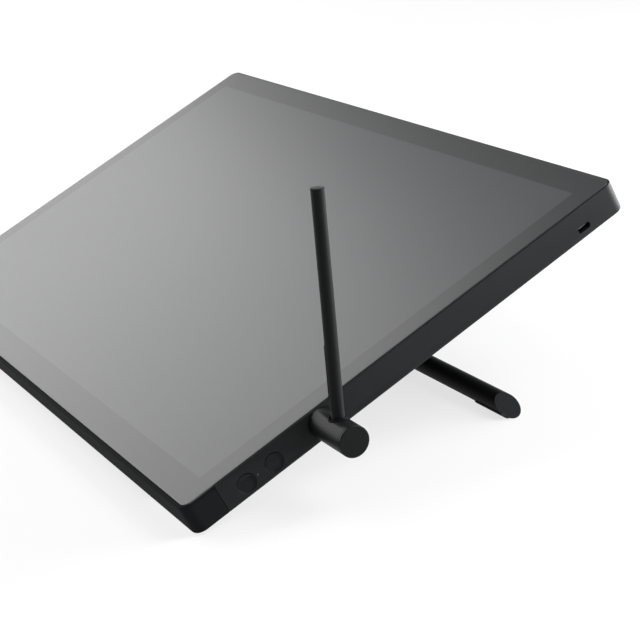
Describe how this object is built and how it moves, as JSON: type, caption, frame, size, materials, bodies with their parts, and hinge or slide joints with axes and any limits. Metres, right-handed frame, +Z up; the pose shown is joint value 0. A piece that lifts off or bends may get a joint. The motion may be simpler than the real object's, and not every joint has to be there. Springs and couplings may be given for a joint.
{
  "type": "graphics tablet with screen",
  "caption": "Slim pen display with a flat etched-glass screen, side buttons, a plug-in pen holder with its pen, and a fold-out bar stand that tilts it for drawing.",
  "frame": {"origin": "middle of the front foot's sole, on the desk, with the stand open", "axes": "+X to the side with the controls and the pen holder, +Y away from the user, +Z up"},
  "size_m": [0.6016, 0.3247, 0.1912],
  "materials": {
    "etched_glass": "fine etched, anti-glare",
    "foam_tape": "closed-cell foam",
    "panel_glass": "smooth",
    "backlight": "white diffuser",
    "circuit_board": "solder mask",
    "steel": "zinc plated",
    "cast_alloy": "bead blasted",
    "frame_black": "fine satin texture",
    "cover_black": "fine spark-eroded texture",
    "brass": "turned",
    "rubber": "matte",
    "chip_black": "moulded",
    "thermal_silicone": "soft pad",
    "flex_film": "polyimide film",
    "light_guide": "frosted clear",
    "nylon": "natural",
    "stand_black": "satin anodised black",
    "holder_black": "satin",
    "pen_black": "satin",
    "nib_plastic": "turned",
    "copper_coil": "wound wire",
    "switch_black": "satin",
    "tail_grey": "satin"
  },
  "bodies": {
    "tablet": {"cover_glass": "etched_glass", "glass_gasket": "foam_tape", "lcd_cell": "panel_glass", "backlight_unit": "backlight", "sensor_board": "circuit_board", "sensor_shield": "steel", "chassis": "cast_alloy", "side_frame": "frame_black", "front_rail": "frame_black", "rear_cover": "cover_black", "cover_screws": "steel", "frame_screws": "steel", "vesa_inserts": "brass", "front_foot": "rubber", "rear_feet": "rubber", "main_board": "circuit_board", "board_chips": "chip_black", "thermal_pad": "thermal_silicone", "heat_spreader": "cast_alloy", "panel_driver_board": "circuit_board", "panel_flexes": "flex_film", "usb_board": "circuit_board", "usb_shell": "steel", "usb_tongue": "chip_black", "button_board": "circuit_board", "tact_switches": "chip_black", "status_led": "light_guide", "light_pipe": "light_guide", "hinge_brackets": "steel", "hinge_pins": "steel", "hinge_washers": "nylon", "hinge_screws": "steel", "holder_socket": "chip_black"},
    "stand": {"stand_arms": "stand_black", "stand_bar": "stand_black", "stand_pads": "rubber", "arm_screws": "steel"},
    "power_button": {"power_button": "frame_black"},
    "function_button": {"function_button": "frame_black"},
    "pen_holder": {"pen_holder": "holder_black", "holder_cap": "holder_black"},
    "pen": {"pen_barrel": "pen_black", "pen_tip": "pen_black", "pressure_sensor": "chip_black", "pen_coil": "copper_coil", "pen_board": "circuit_board", "pen_tail": "tail_grey"},
    "nib": {"pen_nib": "nib_plastic"},
    "side_switch": {"side_switch": "switch_black"}
  },
  "joints": [
    {"name": "stand_fold", "type": "hinge", "parent": "tablet", "child": "stand", "pos_m": [0, 0.19147, 0.07712], "axis": [1, 0, 0], "range_deg": [-90, 0]},
    {"name": "power_press", "type": "slide", "parent": "tablet", "child": "power_button", "axis": [-1, 0, 0], "range_m": [0, 0.0004], "stiffness_N_per_m": 1500},
    {"name": "function_press", "type": "slide", "parent": "tablet", "child": "function_button", "axis": [-1, 0, 0], "range_m": [0, 0.0004], "stiffness_N_per_m": 1500},
    {"name": "holder_pull", "type": "slide", "parent": "tablet", "child": "pen_holder", "axis": [1, 0, 0], "range_m": [0, 0.03]},
    {"name": "pen_lift", "type": "slide", "parent": "pen_holder", "child": "pen", "axis": [0, 0.0671, 0.9977], "range_m": [0, 0.06]},
    {"name": "nib_press", "type": "slide", "parent": "pen", "child": "nib", "axis": [0, 0.0671, 0.9977], "range_m": [0, 0.0005], "stiffness_N_per_m": 1500},
    {"name": "side_switch_rock", "type": "hinge", "parent": "pen", "child": "side_switch", "pos_m": [0.29907, 0.0825, 0.0818], "axis": [0.7071, -0.7055, 0.0475], "range_deg": [-2, 2], "stiffness_Nm_per_rad": 0.3}
  ]
}
